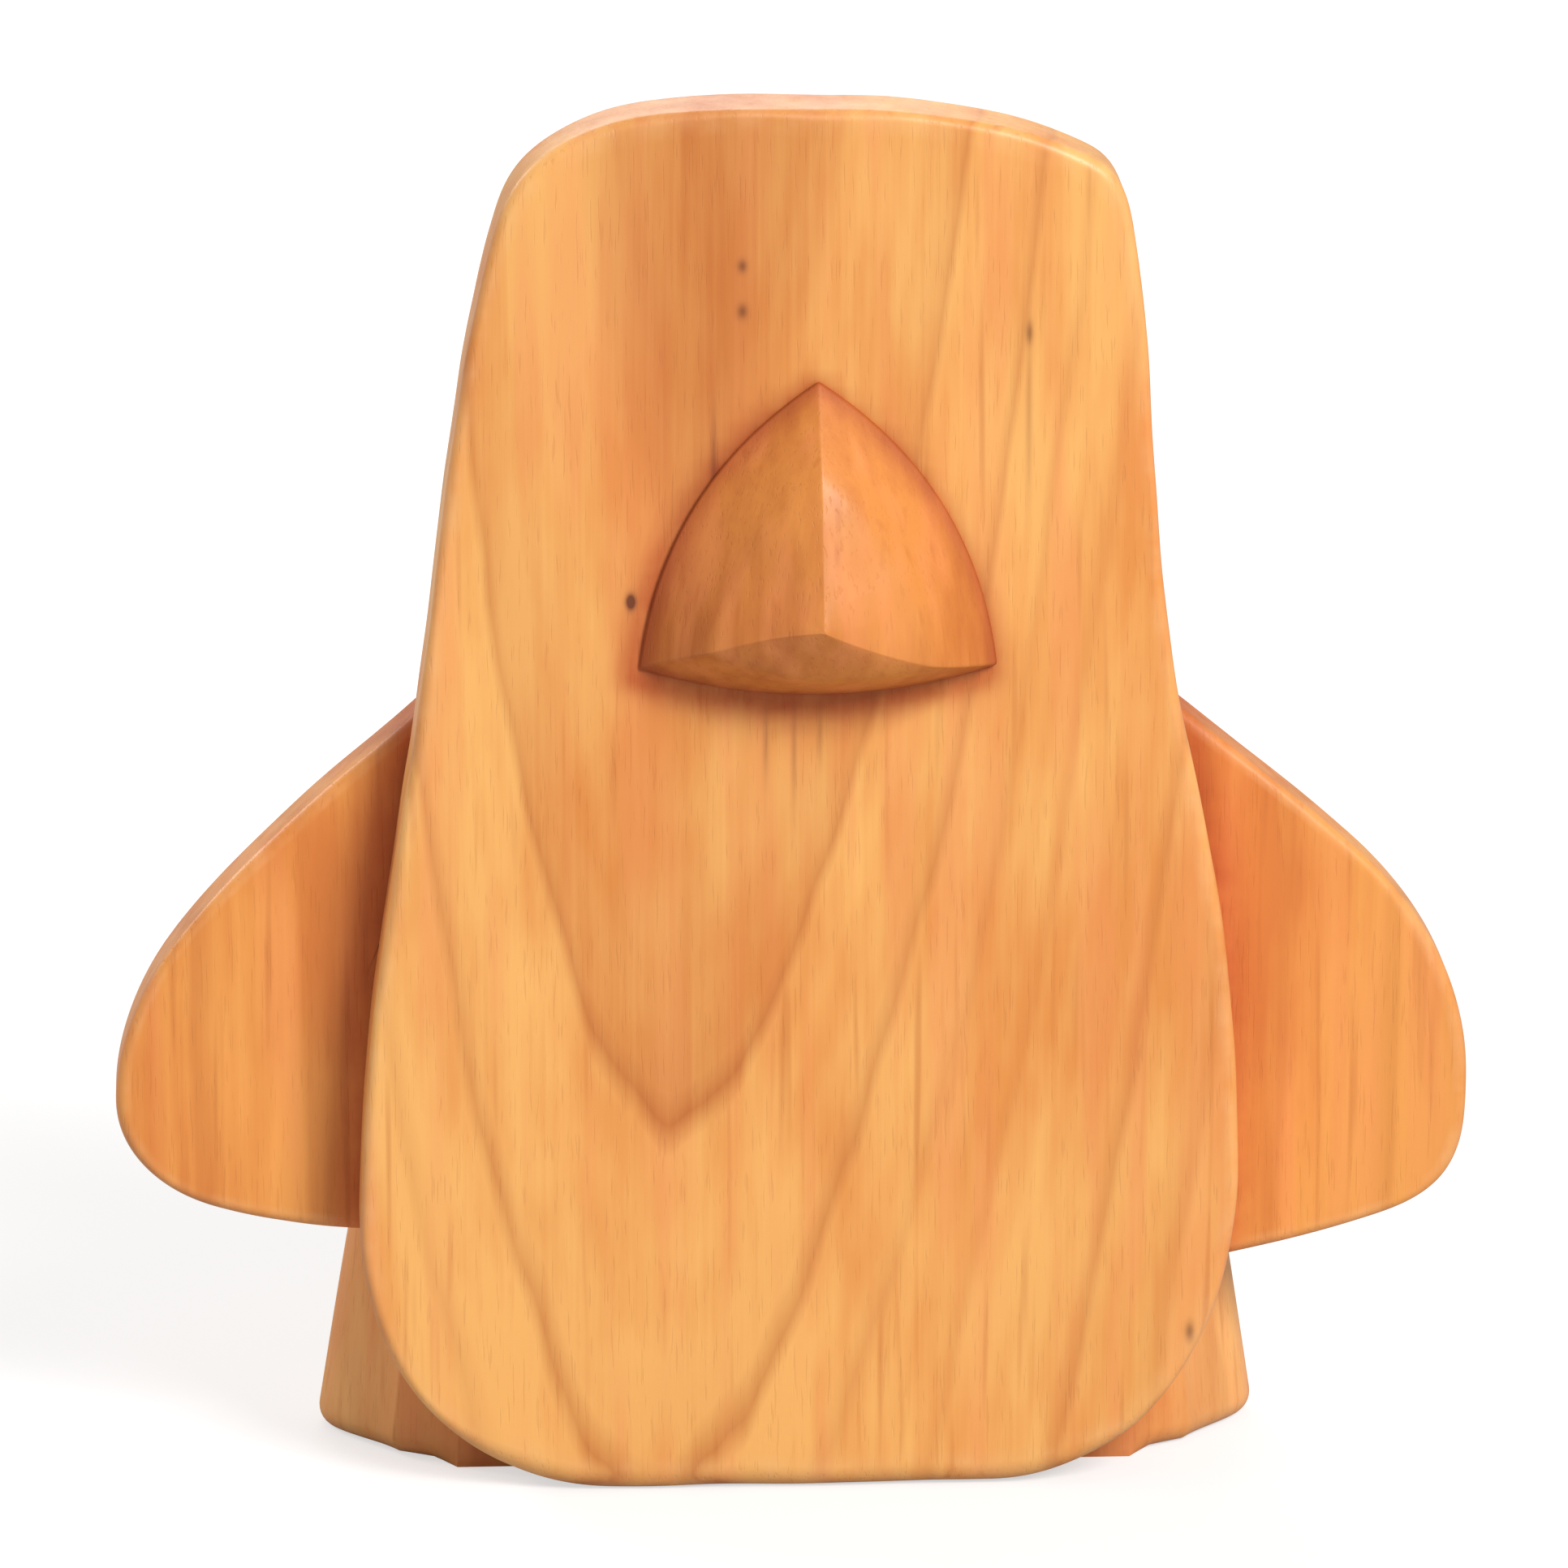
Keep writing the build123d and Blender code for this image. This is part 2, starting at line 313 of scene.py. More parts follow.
# %% The slopes of the nose
NOSE_STEPS, NOSE_RINGS = 220, 64
GIRDLE, GIRDLE_RISE = 0.36, 0.64    # the girdle's place from outline to tip, and its height there
GIRDLE_LATER, GIRDLE_SOONER = 0.06, 0.04    # its shift on the two upper sides and on the underside
GIRDLE_SOFTNESS = 0.06
CREASE_REACH = 0.3                  # how far along the outline a corner's crease is felt
RIGHT_SAG, LEFT_SAG = 1.0 * MM, -0.9 * MM
NOSE_CARVED, NOSE_WAVES = 0.16 * MM, (5 * MM, 22 * MM)
CORNER_BLUR = 0.22 * MM
LIP, LIP_FALL = 0.35 * MM, 8        # the nose's own little wall where it meets the board
NOSE_EDGE = 0.8 * MM                # how far up from the board its edge is worn


def climb(way, girdle):
    """Height share from 0 at the outline to 1 at the tip: two straight slopes, joined by a
    softened min(way, girdle) = (way + girdle - sqrt((way - girdle)^2 + softness^2)) / 2."""
    def lower(x):
        return (x + girdle - np.sqrt((x - girdle) ** 2 + GIRDLE_SOFTNESS ** 2)) / 2
    steep, gentle = GIRDLE_RISE / girdle, (1 - GIRDLE_RISE) / (1 - girdle)
    height = gentle * way + (steep - gentle) * (lower(way) - lower(0))
    return height / (gentle + (steep - gentle) * (lower(1) - lower(0)))


def carve_nose():
    """Rings from the middle of the glued face out to the outline and up to the tip, where
    point = outline + way * (tip - outline) seen from the front and height = reach * climb."""
    outline = softened(evenly(nose_outline(NOSE_STEPS), 3 * NOSE_STEPS), CORNER_BLUR)
    place = np.linspace(0, 3, len(outline), endpoint=False)   # 0 top, 1 right, 2 left corner

    def near(corner):
        away = np.abs((place - corner + 1.5) % 3 - 1.5)
        return np.exp(-(away / CREASE_REACH) ** 2)

    way = np.linspace(0, 1, NOSE_RINGS)[:, None]
    flat = outline + way[..., None] * (nose_tip - outline)
    flat[..., 1] += 4 * way * (1 - way) * (RIGHT_SAG * near(1) + LEFT_SAG * near(2))
    girdle = GIRDLE + GIRDLE_LATER * (near(0.5) + near(2.5)) - GIRDLE_SOONER * near(1.5)
    taken = NOSE_CARVED * waviness(flat, *NOSE_WAVES, seed=5) * np.sin(np.pi * way) ** 0.5
    height = nose_size.y * climb(way, girdle) - taken + LIP * (1 - way) ** LIP_FALL
    skin = np.stack([flat[..., 0], board_face - height, flat[..., 1]], -1)
    glued = np.insert(outline, 1, board_face, axis=1)
    middle = np.insert(nose_tip, 1, board_face)
    base = [middle + share * (glued - middle) for share in (0, 0.5, 0.97)]
    piece = closed_piece("carved_nose", np.concatenate([base, skin]))
    mark(piece, "edge", np.exp(-((board_face - points_of(piece)[:, 1]) / NOSE_EDGE) ** 2))
    return piece


nose = carve_nose()

# %% [markdown]
# ## The body block
# Cut level anywhere, the body shows the same figure: flat in front where the board is glued on,
# flaring towards the back, turning a round corner and closing with a bowed back. Each height has
# its own size of that figure, so the surface is one function of the way round and the way up.

# %% Level cuts through the body
body_low, body_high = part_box("body_block")
body_size = body_high - body_low
FOOT_FRONT, TOP_FRONT, TOP_FLANK = 0.707, 0.543, 0.591   # widths, as shares of the foot's width
TOP_DEPTH = 0.441                       # depth at the top, as a share of the depth at the foot
FLARE, FACET, FLANK = radians(31), radians(60), radians(88)   # how far the flanks have turned
FACET_ACROSS, FACET_DEEP = 0.48, 0.26   # where a crease parts the flare from the flank
WIDEST, CORNER_ACROSS, CORNER_DEEP = 0.5, 0.8, 0.62


def bowed_path(knots, steps):
    """A closed curve for each row of knots[row, knot, (across, deep, heading in, heading out)], in
    cubics whose handles are chord / (3 cos^2(turn / 4)) long: an arc when the turn is even."""
    start, end = knots, np.roll(knots, -1, axis=1)
    leaving, arriving = start[..., 3], end[..., 2]
    turn = (arriving - leaving + np.pi) % (2 * np.pi) - np.pi
    reach = np.linalg.norm(end[..., :2] - start[..., :2], axis=-1) / (3 * np.cos(turn / 4) ** 2)
    first = start[..., :2] + (reach * [np.cos(leaving), np.sin(leaving)]).transpose(1, 2, 0)
    second = end[..., :2] - (reach * [np.cos(arriving), np.sin(arriving)]).transpose(1, 2, 0)
    t = np.linspace(0, 1, steps, endpoint=False)[:, None]
    a, b, c, d = (part[:, :, None] for part in (start[..., :2], first, second, end[..., :2]))
    spans = (1 - t) ** 3 * a + 3 * (1 - t) ** 2 * t * b + 3 * (1 - t) * t ** 2 * c + t ** 3 * d
    return spans.reshape(len(knots), -1, 2)


def body_cuts(rise, steps):
    """The figure at each height share, with every size running evenly from foot to top."""
    half = body_size.x / 2
    side = half * (FOOT_FRONT + (TOP_FRONT - FOOT_FRONT) * rise)
    flank = half * (1 + (TOP_FLANK - 1) * rise)
    deep = body_size.y * (1 + (TOP_DEPTH - 1) * rise)
    widest, behind = WIDEST * deep, (1 - WIDEST) * deep
    corner, corner_deep = flank - CORNER_ACROSS * behind, widest + CORNER_DEEP * behind
    bow = 2 * np.arctan2(deep - corner_deep, corner)
    flat = 0 * rise
    left = [(side, flat, flat, flat + FLARE),
            (side + FACET_ACROSS * (flank - side), FACET_DEEP * widest, flat + FLARE, flat + FACET),
            (flank, widest, flat + FLANK, flat + FLANK),
            (corner, corner_deep, np.pi - bow, np.pi - bow)]
    right = [(-x, y, -leaving, -arriving) for x, y, arriving, leaving in reversed(left)]
    knots = [*left, (flat, deep, flat + np.pi, flat + np.pi), *right]
    path = bowed_path(np.array(knots).transpose(2, 0, 1), steps)
    return path + np.array([(body_low.x + body_high.x) / 2, body_low.y])


print("at the foot:", np.round(body_cuts(np.zeros(1), 2)[0] / MM, 1).tolist())

# %% [markdown]
# The stack of level cuts gets a round shoulder and a softer edge along the ground, everywhere but
# in front, where the board has to lie flat against it. A weight per point tells the two apart.

# %% The body with its rounded rims
BODY_STEPS, BODY_RINGS, CAP_RINGS, RIM_RINGS = 44, 100, 20, 10
SHOULDER, GROUND_ROUND = 4 * MM, 2.5 * MM
FLAT_FRONT = 2 * MM      # depth from the front over which the rounding sets in
CAP_MIDDLE = 0.4         # place of the top's pole, as a share of its depth
PLANED, PLANED_WAVES = 0.2 * MM, (14 * MM, 70 * MM)    # most that plane and rasp take off
CREASE_SPREAD = 14       # points over which a crease's turn is spread, or the rounding would fold


def carve_body():
    """Ring k is the level cut at height(k), moved inwards by weight * inset(k), with quarter
    circles at both ends, and scaled to a point in the middle of the foot and of the top."""
    turn = np.linspace(0, np.pi / 2, RIM_RINGS)
    wall = np.linspace(GROUND_ROUND, body_size.z - SHOULDER, BODY_RINGS + 2)[1:-1]
    heights = np.concatenate([GROUND_ROUND * (1 - np.cos(turn)), wall,
                              (body_size.z - SHOULDER * (1 - np.cos(turn)))[::-1]])
    insets = np.concatenate([GROUND_ROUND * (1 - np.sin(turn)), 0 * wall,
                             (SHOULDER * (1 - np.sin(turn)))[::-1]])
    cuts = body_cuts(heights / body_size.z, BODY_STEPS)
    inward = np.array([bell_average(inward_of(cut), CREASE_SPREAD) for cut in cuts])
    weight = np.clip((cuts[..., 1:] - body_low.y) / FLAT_FRONT, 0, 1)
    solid = np.insert(cuts, 2, heights[:, None], axis=2)
    taken = PLANED * waviness(solid, *PLANED_WAVES, seed=53)[..., None]
    cuts = cuts + weight * inward * (insets[:, None, None] + taken)
    rings = np.insert(cuts, 2, body_low.z + heights[:, None], axis=2)
    centre = np.array([0, body_low.y + CAP_MIDDLE * TOP_DEPTH * body_size.y])
    foot, top = np.append(centre, body_low.z), np.append(centre, body_high.z)
    share = np.linspace(0, 1, CAP_RINGS, endpoint=False)[:, None, None]
    rings = np.concatenate([foot + share * (rings[0] - foot), rings,
                            top + share[::-1] * (rings[-1] - top)])
    return closed_piece("carved_body", rings)


body = carve_body()

# %% [markdown]
# ## Letting the arms in
# Each arm sits in a slot in the body's front. The slot is cut with the arm's own outline, a tenth of
# a millimetre larger all round, by a Boolean, and the result is kept as a plain mesh, because the
# cutters are thrown away afterwards.

# %% Cutting the slots
SLOT_GAP, CUT_IN_FRONT = 0.1 * MM, 1 * MM
SHARP = radians(40)      # edges that turn more than this stay sharp


def slot_cutter(node, outline):
    """A prism on the outline moved outwards by the gap. It reaches from in front of the body to
    just behind the arm."""
    low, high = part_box(node)
    grown = outline[::3] - SLOT_GAP * inward_of(outline[::3])
    ends = [np.insert(grown, 1, y, axis=1) for y in (low.y - CUT_IN_FRONT, high.y + SLOT_GAP)]
    poles = [0 * end + end.mean(0) for end in ends]
    return closed_piece(f"cutter_{node}", np.array([poles[0], ends[0], ends[1], poles[1]]))


for node, outline in arm_outlines.items():
    cutter = slot_cutter(node, outline)
    cut = body.modifiers.new("slot", "BOOLEAN")
    cut.object, cut.operation, cut.solver = cutter, "DIFFERENCE", "EXACT"
    shaped = bpy.data.meshes.new_from_object(body.evaluated_get(bpy.context.evaluated_depsgraph_get()))
    body.modifiers.clear()
    body.data = shaped
    bpy.data.objects.remove(cutter)
body.data.set_sharp_from_angle(angle=SHARP)
print(f"carved_body with its slots: {len(body.data.polygons)} faces")

# %% [markdown]
# ## Painted shade in the corners
# Shade is painted into the colour where pieces meet: on the arms close to the board, on the board as
# the nose's shadow, on the nose at its base, and on the body close to the board's back. Each mask
# falls off with the distance.

# %% The painted shade masks
ARM_SHADE_REACH, NOSE_BASE_SHADE_REACH, NOSE_SHADOW_REACH = 3 * MM, 1.6 * MM, 1.8 * MM    # how far each one reaches
BODY_SHADE_REACH, BODY_EDGE, NO_EDGE_ABOVE = 4 * MM, 3 * MM, 9 * MM
ARM_SHADE_STRENGTH, BODY_SHADE_STRENGTH = 0.8, 0.6      # strength, where the others have 1
NOSE_SHADOW_SHIFT = np.array([0.8, 1.2]) * MM    # the nose's painted shadow lies lower, towards the doll's right, away from the key lamp


def fades(distance, width):
    """1 at the corner, falling as exp(-(distance / width)^2)."""
    return np.exp(-(distance / width) ** 2)


# Painted shade on the arms, darker close to the board's outline.
for piece in arms.values():
    behind = beyond(board_outline, points_of(piece)[:, [0, 2]])
    mark(piece, "painted_shade", ARM_SHADE_STRENGTH * fades(behind, ARM_SHADE_REACH))
at_board, at_body = points_of(board), points_of(body)
# Painted shadow of the nose on the board's front, shifted down and towards the doll's right.
from_nose = beyond(evenly(nose_outline(60), 240), at_board[:, [0, 2]] + NOSE_SHADOW_SHIFT)
mark(board, "painted_shade", fades(from_nose, NOSE_SHADOW_REACH) * (at_board[:, 1] < board_face + MM))
# Painted shade on the body, darker towards its front, behind the board.
mark(body, "painted_shade", BODY_SHADE_STRENGTH * fades(at_body[:, 1] - body_low.y, BODY_SHADE_REACH))
mark(body, "edge", fades(np.minimum(at_body[:, 2] - body_low.z, NO_EDGE_ABOVE), BODY_EDGE))
# Painted shade on the nose, darker near the board.
mark(nose, "painted_shade", fades(board_face - points_of(nose)[:, 1], NOSE_BASE_SHADE_REACH))
print("grime marked on", [piece.name for piece in (*arms.values(), board, body, nose)])

# %% [markdown]
# ## How the wood is made to show the tree
# A tree lays down one ring a year around its pith. A plank is a slice through those rings, so its
# figure follows from one thing only: where the pith ran. If the pith leans towards the face, the
# rings come out as tall arches. The colour below is therefore a function of the distance from a
# leaning line in space, and every side of a piece, end grain included, belongs to the same tree.

# %% Small helpers for nodes
def add(tree, kind, wires={}, **settings):
    """A new node. wires gives each input, by name or number, a value or an output to link."""
    node = tree.nodes.new(f"ShaderNode{kind}")
    for name, value in settings.items():
        setattr(node, name, value)
    for place, value in wires.items():
        if isinstance(value, bpy.types.NodeSocket):
            tree.links.new(value, node.inputs[place])
        else:
            node.inputs[place].default_value = value
    return node


def maths(tree, operation, *values):
    """One Math node's output."""
    return add(tree, "Math", dict(enumerate(values)), operation=operation).outputs[0]


def kept_within(tree, value):
    """The value, kept between 0 and 1."""
    return add(tree, "Clamp", {0: value}).outputs[0]


def blended(tree, factor, first, second, blend_type="MIX"):
    """A colour mixed from two."""
    mix = add(tree, "Mix", {0: factor, 6: first, 7: second}, data_type="RGBA", blend_type=blend_type)
    return mix.outputs[2]


def tinted(red, green, blue):
    """A colour as seen, in steps of 0 to 255, turned into the linear colour that shaders use."""
    seen = np.array([red, green, blue]) / 255
    return (*np.where(seen <= 0.04045, seen / 12.92, ((seen + 0.055) / 1.055) ** 2.4), 1)


def group_of(name, given, result):
    """An empty shader node group with these inputs and outputs: (tree, input node, output node)."""
    tree = bpy.data.node_groups.new(name, "ShaderNodeTree")
    for label, kind in given.items():
        tree.interface.new_socket(label, in_out="INPUT", socket_type=f"NodeSocket{kind}")
    for label, kind in result.items():
        tree.interface.new_socket(label, in_out="OUTPUT", socket_type=f"NodeSocket{kind}")
    return tree, tree.nodes.new("NodeGroupInput").outputs, tree.nodes.new("NodeGroupOutput")


print("pale oiled wood in linear colour:", np.round(tinted(246, 176, 106), 3))

# %% [markdown]
# ## Growth rings as a node group
# Every piece needs the same knowledge about the tree, with its own pith line. A node group with
# named inputs holds it once. It puts out the distance from the pith and a few masks, all from noise
# that is stretched along the grain, because wood fibres run upwards for centimetres.

# %% The growth rings
CREST_REACH, CREST_BLUNT = 12.0, 3.0    # in mm to the side, and in mm2, which rounds off the point
SWAY, SHAKE, SHAKE_SHARE = (16, 55), (3, 16), 0.16        # noises by their (width, length) in mm
FINE_FIBRE, COARSE_FIBRE, FINE_SHARE = (0.5, 26), (2.6, 55), 0.35
MARKS = {"Pores": ((0.28, 4.5), 0.62, 0.72), "Streaks": ((1.3, 32), 0.6, 0.78),
         "Blush": ((3.5, 45), 0.48, 0.66)}    # noise, and its values where a mark starts and is full


def growth_rings():
    """Distance in mm from the pith line, |across the grain of (point - pith - lean * height)|,
    plus a slow waver, less peak * crest, which points the arches. Crest is exp(-sideways / 12 mm),
    1 over the pith line. Fibre, pores, streaks and blush are noises stretched along the grain."""
    tree, given, result = group_of(
        "growth rings",
        {"Point": "Vector", "Pith": "Vector", "Lean": "Vector", "Waver": "Float", "Peak": "Float"},
        {"Distance": "Float", "Crest": "Float", "Fibre": "Float",
         **{label: "Float" for label in MARKS}})

    def vectors(operation, first, second):
        return add(tree, "VectorMath", {0: first, 1: second}, operation=operation).outputs[0]

    def streaks(size, detail):
        wide, long = size[0] * MM, size[1] * MM
        squeezed = vectors("MULTIPLY", given["Point"], (1 / wide, 1 / wide, 1 / long))
        return add(tree, "TexNoise", {"Vector": squeezed, "Scale": 1.0, "Detail": detail}).outputs[0]

    height = add(tree, "SeparateXYZ", {0: given["Point"]}).outputs[2]
    leaned = add(tree, "VectorMath", {0: given["Lean"], 3: height}, operation="SCALE").outputs[0]
    out = vectors("SUBTRACT", vectors("SUBTRACT", given["Point"], given["Pith"]), leaned)
    across = vectors("MULTIPLY", out, (1 / MM, 1 / MM, 0))
    distance = add(tree, "VectorMath", {0: across}, operation="LENGTH").outputs[1]
    sway = maths(tree, "SUBTRACT", streaks(SWAY, 2.0), 0.5)
    shake = maths(tree, "MULTIPLY", maths(tree, "SUBTRACT", streaks(SHAKE, 2.0), 0.5), SHAKE_SHARE)
    sway = maths(tree, "MULTIPLY", maths(tree, "ADD", sway, shake), given["Waver"])
    sideways = add(tree, "SeparateXYZ", {0: across}).outputs[0]
    sideways = maths(tree, "SQRT", maths(tree, "MULTIPLY_ADD", sideways, sideways, CREST_BLUNT))
    crest = maths(tree, "EXPONENT", maths(tree, "DIVIDE", sideways, -CREST_REACH))
    sway = maths(tree, "SUBTRACT", sway, maths(tree, "MULTIPLY", crest, given["Peak"]))
    coarse = maths(tree, "MULTIPLY", streaks(COARSE_FIBRE, 2.0), 1 - FINE_SHARE)
    fibre = maths(tree, "MULTIPLY_ADD", streaks(FINE_FIBRE, 3.0), FINE_SHARE, coarse)
    found = {"Distance": maths(tree, "ADD", distance, sway), "Crest": crest, "Fibre": fibre}
    for label, (size, start, full) in MARKS.items():
        found[label] = add(tree, "MapRange", {0: streaks(size, 1.0), 1: start, 2: full}).outputs[0]
    for label, output in found.items():
        tree.links.new(output, result.inputs[label])
    return tree


rings = growth_rings()
print("group:", rings.name, [socket.name for socket in rings.interface.items_tree])

# %% [markdown]
# ## Wear and painted shade as a node group
# Years of hands leave the worked edges a little paler and glossier, and the corners get painted shade,
# a darker colour. The second group takes the wood's colour and roughness and gives both back with that
# wear and painted shade on them, broken up by noise so that it never looks like a drawn line.

# %% Wear and painted shade
PATCHES_PER_METRE, RUBBED = 260.0, 0.22
# The second tone is the colour of the painted shade, multiplied into the wood in the corners.
RUBBED_TONE, SHADE_TONE = tinted(255, 205, 150), tinted(205, 150, 118)


def wear_and_shade():
    """Colour mixed towards a pale tone by edge * noise, which is wear, and towards a dark one by the
    painted shade mask * noise, which paints shade; roughness lowered on edges and raised where shade
    is painted."""
    tree, given, result = group_of("wear_and_shade", {
        "Point": "Vector", "Colour": "Color", "Edge": "Float", "Painted_shade": "Float",
        "Roughness": "Float"}, {"Colour": "Color", "Roughness": "Float"})
    patchy = add(tree, "TexNoise", {"Vector": given["Point"], "Scale": PATCHES_PER_METRE,
                                    "Detail": 3.0}).outputs[0]
    patchy = add(tree, "MapRange", {0: patchy, 1: 0.3, 2: 0.7}).outputs[0]
    rubbed = maths(tree, "MULTIPLY", maths(tree, "MULTIPLY", given["Edge"], patchy), RUBBED)
    pale = blended(tree, rubbed, given["Colour"], RUBBED_TONE)
    # Painted shade: how much the colour is darkened in the corners, broken up by noise.
    shade_share = maths(tree, "MULTIPLY", given["Painted_shade"], maths(tree, "MULTIPLY_ADD", patchy, 0.3, 0.7))
    dark = blended(tree, 1.0, pale, SHADE_TONE, "MULTIPLY")
    tree.links.new(blended(tree, shade_share, pale, dark), result.inputs["Colour"])
    smoother = maths(tree, "MULTIPLY_ADD", rubbed, -0.25, given["Roughness"])
    tree.links.new(maths(tree, "MULTIPLY_ADD", shade_share, 0.2, smoother), result.inputs["Roughness"])
    return tree


wear_and_shade_group = wear_and_shade()
print("group:", wear_and_shade_group.name, [socket.name for socket in wear_and_shade_group.interface.items_tree])

# %% [markdown]
# ## One recipe for oiled wood
# All pieces share the recipe: rings, streaks, pores, patches of warmer and paler wood, then wear,
# painted shade in the corners and a satin oil finish. What differs is where each piece was cut from
# the log and which rings are dark. A ring darkens slowly outwards, over the summer, and ends sharply,
# with the winter.

# %% Rings and spots
RING_REACH = 90.0      # the ring ramp runs from the pith to this many millimetres out


def ring_ramp(tree, distance, profile):
    """Darkness against distance in straight lines between the profile's (radius, darkness)."""
    ramp = add(tree, "ValToRGB", {0: maths(tree, "DIVIDE", distance, RING_REACH)})
    stops = ramp.color_ramp.elements
    stops.remove(stops[1])
    stops[0].position = profile[0][0] / RING_REACH
    for radius, _ in profile[1:]:
        stops.new(radius / RING_REACH)
    for stop, (_, darkness) in zip(stops, profile):
        stop.color = (darkness, darkness, darkness, 1)
    return ramp.outputs[0]


def soft_spots(tree, point, spots):
    """Sum over the spots (x, z, wide, tall, strength), in mm, of
    strength * exp(-((x - x0) / wide)^2 - ((z - z0) / tall)^2)."""
    total = 0.0
    for x, z, wide, tall, strength in spots:
        off = add(tree, "VectorMath", {
            0: point, 1: (1 / (wide * MM), 0, 1 / (tall * MM)), 2: (-x / wide, 0, -z / tall)},
            operation="MULTIPLY_ADD").outputs[0]
        square = add(tree, "VectorMath", {0: off, 1: off}, operation="DOT_PRODUCT").outputs[1]
        fall = maths(tree, "EXPONENT", maths(tree, "MULTIPLY", square, -1.0))
        total = maths(tree, "MULTIPLY_ADD", fall, strength, total)
    return total


print("a ring ramp covers", RING_REACH, "mm from the pith")

# %% [markdown]
# The colour is laid on in the order in which it lies in the wood: pale early wood, patches where it
# is warmer, rosy streaks, the dark late wood of each ring, resin in knots and fine cracks, and the
# pores. Each layer is a mix whose factor is a mask from the rings.

# %% The colour of the wood
RIPPLE, RIPPLE_STRENGTH = 2.6, 0.07     # a faint ripple in each ring, in radians per mm
PATCHES = (85, 85, 34)                  # patches per metre, across and along the grain
FIBRE_WARMTH, PATCH_WARMTH, COOLNESS = 1.4, 2.8, 1.75
ROSY_TONE, RESIN_TONE, PORE_TONE = tinted(248, 154, 92), tinted(126, 66, 30), tinted(178, 98, 44)
BLUSH, STREAK, PORE = 0.36, 0.4, 0.14   # strength of the rosy streaks, dark streaks and pores
LATE_EVERYWHERE, LATE_OFF_CREST, LATE_ON_CREST = 0.45, 0.42, 0.6    # how plain the late wood is
PALE, WARM, DARK = (252, 186, 104), (236, 150, 72), (190, 100, 36)


def wood_colour(tree, point, grown, late, tones, clouds, knots):
    """Colour = pale mixed with warm by fibre + patches + clouds, then with each darker layer by
    its own mask. The late wood's mask is its ramp * fibre, stronger on the crest of an arch."""
    fibre, (pale, warm, dark) = grown["Fibre"], tones
    spread = add(tree, "VectorMath", {0: point, 1: PATCHES}, operation="MULTIPLY").outputs[0]
    patches = add(tree, "TexNoise", {"Vector": spread, "Scale": 1.0, "Detail": 3.5}).outputs[0]
    warmth = maths(tree, "MULTIPLY_ADD", patches, PATCH_WARMTH, -COOLNESS)
    warmth = maths(tree, "MULTIPLY_ADD", fibre, FIBRE_WARMTH, warmth)
    warmth = maths(tree, "ADD", soft_spots(tree, point, clouds), warmth)
    ripple = maths(tree, "SINE", maths(tree, "MULTIPLY", grown["Distance"], RIPPLE))
    warmth = maths(tree, "MULTIPLY_ADD", ripple, RIPPLE_STRENGTH, warmth)
    colour = blended(tree, kept_within(tree, warmth), tinted(*pale), tinted(*warm))
    colour = blended(tree, maths(tree, "MULTIPLY", grown["Blush"], BLUSH), colour, ROSY_TONE)
    shade = maths(tree, "MULTIPLY", late, maths(tree, "MULTIPLY_ADD", fibre, 1.0, LATE_EVERYWHERE))
    crested = maths(tree, "MULTIPLY_ADD", grown["Crest"], LATE_ON_CREST, LATE_OFF_CREST)
    shade = maths(tree, "MULTIPLY", shade, crested)
    shade = maths(tree, "MAXIMUM", shade, maths(tree, "MULTIPLY", grown["Streaks"], STREAK))
    colour = blended(tree, kept_within(tree, shade), colour, tinted(*dark))
    colour = blended(tree, kept_within(tree, soft_spots(tree, point, knots)), colour, RESIN_TONE)
    return blended(tree, maths(tree, "MULTIPLY", grown["Pores"], PORE), colour, PORE_TONE)


print("layers over the pale wood: warm, rosy, late wood, resin, pores")

# %% [markdown]
# Oil doesn't hide the grain from the finger: the late wood stands a little proud, the pores are
# open. A Bump node is right for that, because it is far finer than the mesh. The slight second
# gloss of the rubbed oil is a thin coat.

# %% The oiled finish
SATIN, ROUGHER_FIBRE, ROUGHER_PORES = 0.4, 0.14, 0.1    # roughness, and what the grain adds to it
RELIEF = 0.12 * MM                                      # height between pores and late wood
LATE_PROUD, FIBRE_PROUD, PORES_DEEP = 0.5, 0.8, 0.6     # as shares of the relief


